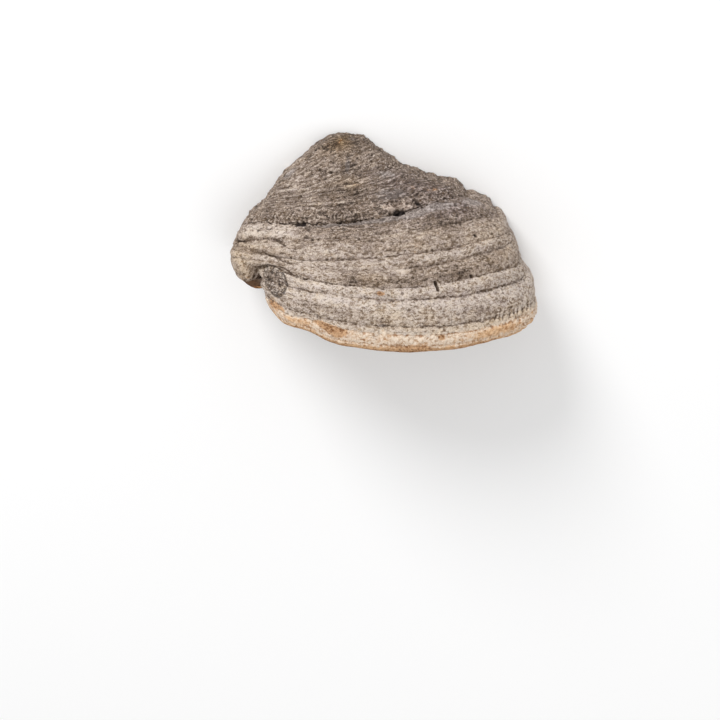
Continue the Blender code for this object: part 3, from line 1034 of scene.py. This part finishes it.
def crust_tone(s, at):
    """How pale the crust is: each zone's own tone, with painted shade and highlight beside some grooves, then
    the weathering, with painted shade where the crust lies below its surroundings and in folds, and painted
    highlights along crests and on the grit.
    """
    share = s.math("DIVIDE", at.level, ZONES + 1.0)
    zone_tone = s.ramp(share, *[(place, grey(tone)) for place, tone in ZONE_TONES])
    clouds = s.noise(s.place, 17.0, detail=1.0)
    edge = s.band(at.level, 10.5, 11.2)
    upright = s.times(at.fibres, s.band(at.level, 11.8, 12.4))
    lights = s.times(s.band(at.chips, 0.12, 0.3), s.kept("dark"), at.rough)
    # painted glints: pale flecks on the grit where the crust is rough
    painted_glints = s.times(s.band(at.grit, 0.1, 0.3), at.rough)
    return s.sum(zone_tone, (at.streaks, s.sum(0.62, (at.calm, -0.27))),
                 (at.grit, s.sum(1.7, (at.calm, -0.15))),
                 (at.flecks, s.sum(0.38, (at.rough, 0.12), (at.calm, -0.24))),
                 (at.chips, s.sum(0.42, (at.calm, -0.24), (edge, 0.08), (s.kept("knot"), 0.12))),
                 (at.plates, s.sum(0.18, (at.calm, -0.12), (edge, 0.15))),
                 # painted shade: darker where the crust lies below its surroundings
                 (s.kept("dip"), s.sum(-0.8, (at.calm, 0.4))), (at.specks, -0.24), (upright, 1.1),
                 (at.blotches, 0.45), (clouds, 0.25), (at.light_lines, 0.22), (painted_glints, 0.25), (lights, 0.2),
                 (at.knot, -0.12), *[(s.kept(name), weight) for name, weight in KEPT_TONES.items()])


def weathered(s, at, tone):
    """The grey-brown of the crust, warmer here and cooler there, with dark seams."""
    colour = s.ramp(tone, *CRUST_TONES)
    hues = s.noise(s.pushed(at.layers, 4.0, 2.0), (5.0, 2.6, 5.0), detail=3.0, roughness=0.65)
    warmth = s.sum(0.02, (at.blotches, 0.4), (hues, 0.9), (s.kept("warm"), 0.42), (at.specks, 0.25))
    colour = s.mix(s.math("ADD", warmth, 0.0, clamp=True), colour, WARMER, "MULTIPLY")
    coolness = s.math("MULTIPLY", s.sum(s.kept("warm"), (hues, 2.0)), -1.1, clamp=True)
    colour = s.mix(coolness, colour, COOLER, "MULTIPLY")
    seams = s.most(s.times(at.seams, s.sum(0.8, (at.calm, -0.25))), s.times(at.gaps, 0.4))
    return s.mix(seams, colour, SEAM)


def stained(s, at, colour, tone, kind):
    """The colour with one kind of stain."""
    deep, pale, ragged, most = STAINS[kind]
    edge = s.sum(s.kept(kind), (at.flecks, ragged), (at.blotches, ragged), (at.grit, ragged))
    return s.mix(s.times(s.band(edge, 0.3, 0.7), most), colour, s.ramp(tone, (0.35, deep), (1.0, pale)))


def edged(s, at, colour, tone):
    """The colour with the cream edge, the stains and the brown underside of the lobe."""
    lip = s.sum(at.level, (at.blotches, 1.6), (at.flecks, 1.0), (s.kept("ochre"), 0.3), (s.kept("lip"), 0.6))
    cream = s.ramp(tone, (0.4, CREAM_DARK), (0.72, CREAM), (0.98, CREAM_PALE))
    orange = s.noise(s.pushed(at.layers, 3.0, 1.6), (2.8, 5.5, 2.8), detail=3.0, roughness=0.6)
    orange = s.sum(orange, (s.kept("ochre"), 0.12), (s.band(at.level, 11.7, 12.5), 0.17))
    cream = s.mix(s.times(s.band(orange, 0.09, 0.27), 0.75), cream,
                  s.ramp(tone, (0.35, OCHRE), (1.0, OCHRE_PALE)))
    colour = s.mix(s.times(s.band(lip, 10.6, 11.3), 0.92), colour, cream)
    for kind in ("cream", "ochre", "rust"):
        colour = stained(s, at, colour, tone, kind)
    colour = s.mix(s.times(at.gaps, s.band(at.level, 10.8, 11.3), 0.4), colour, CREAM_SEAM)
    colour = stained(s, at, colour, tone, "slate")
    return s.mix(s.kept("under"), colour, s.ramp(tone, (0.3, UNDERSIDE_DARK), (0.9, UNDERSIDE)))


def crust_shade_and_dirt(s, at):
    """How dark the pits, upright cracks, grooves and creases are, partly from grime and partly as painted
    shade.
    """
    pit_cells = s.cells(s.place, 1.6)
    pits = s.times(s.band(pit_cells.outputs["Distance"], 0.26, 0.12),
                   s.band(pit_cells.outputs["Color"], 0.42, 0.55))
    fissures = s.edges(s.pushed(at.layers, 2.0, 1.0), (2.6, 6.5, 2.6))
    fissures = s.times(s.band(fissures, 0.05, 0.01), s.band(at.blotches, 0.0, 0.12),
                       s.band(at.level, 4.0, 5.5))
    off = s.math("ABSOLUTE", s.sum(s.kept("off_groove"), (at.flecks, 1.1), (at.grit, 0.5)))
    line = s.times(s.band(off, 0.34, 0.05), s.band(s.kept("groove"), 0.15, 0.9))
    deepest = s.band(s.sum(s.kept("groove"), (at.blotches, 1.5)), 1.0, 1.8)
    black_line = s.times(s.band(off, 0.5, 0.1), deepest)
    cracks = s.band(s.sum(s.kept("cracks"), (at.grit, 0.4)), 0.12, 0.55)
    return s.most(s.times(pits, s.sum(0.55, (at.calm, -0.1))), s.times(fissures, 0.28), s.times(line, 0.7),
                  s.times(black_line, 0.9), s.times(s.band(s.kept("pits"), 0.15, 0.5), 0.6),
                  s.times(cracks, 0.85))


def knotted(s, at, colour):
    """The colour with the dark crumbs of the knot and the ring around it."""
    crumbs = s.edges(s.pushed(s.place, 2.0, 1.8), 1.7)
    crumbs = s.times(s.band(s.sum(crumbs, (at.flecks, 0.6)), 0.13, 0.02), at.knot)
    ring = s.sum(s.kept("knot"), (at.grit, 0.35))
    ring = s.times(s.band(ring, 0.1, 0.25), s.band(ring, 0.62, 0.42), s.band(at.chips, -0.25, 0.0))
    return s.mix(s.times(s.most(crumbs, ring), 0.8), colour, DEEP)


def crust_material():
    s = Surface("weathered_crust")
    at = crust_patterns(s)
    tone = crust_tone(s, at)
    colour = edged(s, at, weathered(s, at, tone), tone)
    # painted shade and grime: pits, cracks, grooves and creases darkened towards deep brown
    shade_and_dirt = crust_shade_and_dirt(s, at)
    shade_and_dirt_colour = s.mix(s.band(at.level, 10.3, 11.0), s.mix(at.calm, DEEP, SHADE_AND_SOIL), CREAM_SEAM)
    colour = knotted(s, at, s.mix(shade_and_dirt, colour, shade_and_dirt_colour))
    # painted shade: the holes are darkened nearly to black
    colour = s.mix(s.band(s.sum(s.kept("hollow"), (at.grit, 1.2)), 0.3, 0.8), colour, HOLLOW_SHADE)
    height = s.sum(0.5, (at.streaks, 0.7), (at.grit, 0.55), (at.flecks, 0.25), (at.light_lines, 0.2),
                   (at.chips, 0.35), (at.plates, 0.15), (at.seams, -0.3), (at.gaps, -0.35), (shade_and_dirt, -0.45))
    return s.finish(colour, height, 0.75, 0.45)


def pore_material():
    s = Surface("pore_face")
    pores = s.cells(s.place, 0.42).outputs["Distance"]
    blotches = s.noise(s.place, 7.0, detail=3.0, roughness=0.6)
    flecks = s.noise(s.place, 1.2)
    open_pores = s.band(pores, 0.42, 0.22)
    tone = s.sum(0.5, (blotches, 1.2), (flecks, 0.8))
    colour = s.ramp(tone, (0.1, PORE_DARK), (0.5, PORE_BROWN), (0.95, PORE_PALE))
    rim = s.band(s.sum(s.kept("level"), (flecks, 0.25), (blotches, 0.2)), 13.12, 13.0)
    colour = s.mix(s.times(rim, 0.75), colour, PORE_RIM)
    colour = s.mix(s.times(open_pores, 0.55), colour, PORE_DARK)
    return s.finish(colour, s.sum(0.5, (open_pores, -0.5), (flecks, 0.4)), 0.6, 0.3)


def cut_material():
    s = Surface("sawn_cork")
    layers = s.kept("layers", "Vector")
    tubes = s.noise(layers, (0.5, 6.0, 6.0))
    strata = s.noise(layers, (22.0, 6.0, 1.6), detail=3.0, roughness=0.6, distortion=0.3)
    saw = s.noise(layers, (9.0, 9.0, 0.4), detail=1.0)
    tone = s.sum(0.5, (strata, 1.5), (tubes, 0.7), (saw, 0.4))
    colour = s.ramp(tone, (0.1, CORK_DARK), (0.55, CORK), (0.95, CORK_PALE))
    rind = s.band(s.sum(s.kept("inner"), (tubes, 0.6)), 1.5, 0.9)
    colour = s.mix(rind, colour, DEEP)
    return s.finish(colour, s.sum(0.5, (tubes, 0.7), (saw, 0.5)), 0.5, 0.3)


conk = grown_conk()
for material in (crust_material(), pore_material(), cut_material()):
    conk.data.materials.append(material)
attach(conk, "root")
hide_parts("conk")


# The camera, as the photograph was taken

FRAME_PIXELS = 720
LENS = 85.0
SENSOR = 36.0
MM_PER_PIXEL = 150.0 / 304.0
SPOT_PIXEL = (384.0, 242.5)          # where the middle of the conk shows
SPOT = (0.0, -40.0, 42.0)            # the middle of the conk, in the growth frame
LOOKS_DOWN = math.radians(17.5)      # on the pore face's plane, along the line to the spot
CLOCKWISE = math.radians(6.9)        # the conk leans to the right in the photograph


def add_camera():
    focal = LENS / SENSOR * FRAME_PIXELS
    across = (SPOT_PIXEL[0] - FRAME_PIXELS / 2) * MM_PER_PIXEL
    upward = (FRAME_PIXELS / 2 - SPOT_PIXEL[1]) * MM_PER_PIXEL
    distance = focal * MM_PER_PIXEL
    down = LOOKS_DOWN + math.atan2(upward, distance)
    ahead = np.array([0.0, math.cos(down), -math.sin(down)])
    level, up = np.array([1.0, 0.0, 0.0]), np.array([0.0, math.sin(down), math.cos(down)])
    right = math.cos(CLOCKWISE) * level + math.sin(CLOCKWISE) * up
    up = math.cos(CLOCKWISE) * up - math.sin(CLOCKWISE) * level
    place = np.array(SPOT) - distance * ahead - across * right - upward * up
    turned = [Vector((v[0], v[2], -v[1])) for v in (right, up, -ahead)]
    camera = bpy.data.objects.new("camera", bpy.data.cameras.new("camera"))
    camera.data.lens = LENS
    camera.data.sensor_width = SENSOR
    camera.matrix_world = Matrix.Translation(Vector(laid_down(place))) @ Matrix(turned).transposed().to_4x4()
    bpy.context.scene.collection.objects.link(camera)
    bpy.context.scene.camera = camera


# The floor and the light of a plain studio, in metres and watts

FLOOR_WIDTH = 6.0
FLOOR_DROP = 0.0002      # it lies this far under the cut, so that the two don't flicker
FLOOR_GREY = 0.94
MIDDLE = (0, 0, 0.03)    # what the lamps are aimed at
# Each lamp's name, place, width and power
LAMPS = (
    ("key", (-0.85, 1.25, 0.95), 0.8, 20.0),
    ("fill", (0.8, -0.3, 1.4), 1.4, 4.8),
)
SKY_STRENGTH = 0.66


def add_floor():
    bpy.ops.mesh.primitive_plane_add(size=FLOOR_WIDTH, location=(0, 0, -FLOOR_DROP))
    floor = bpy.context.object
    floor.name = "floor"
    material = bpy.data.materials.new("pale_floor")
    material.use_nodes = True
    shader = material.node_tree.nodes["Principled BSDF"]
    shader.inputs["Base Color"].default_value = grey(FLOOR_GREY)
    shader.inputs["Roughness"].default_value = DULLNESS
    floor.data.materials.append(material)


def add_light(name, place, size, power):
    light = bpy.data.lights.new(name, "AREA")
    light.shape = "DISK"
    light.size = size
    light.energy = power
    lamp = bpy.data.objects.new(name, light)
    lamp.location = place
    lamp.rotation_euler = (Vector(MIDDLE) - Vector(place)).to_track_quat("-Z", "Y").to_euler()
    bpy.context.scene.collection.objects.link(lamp)


def add_sky():
    world = bpy.data.worlds.new("studio")
    world.use_nodes = True
    background = world.node_tree.nodes["Background"]
    background.inputs["Color"].default_value = (1, 1, 1, 1)
    background.inputs["Strength"].default_value = SKY_STRENGTH
    bpy.context.scene.world = world


add_camera()
add_floor()
for lamp in LAMPS:
    add_light(*lamp)
add_sky()
bpy.context.scene.view_settings.view_transform = "Standard"
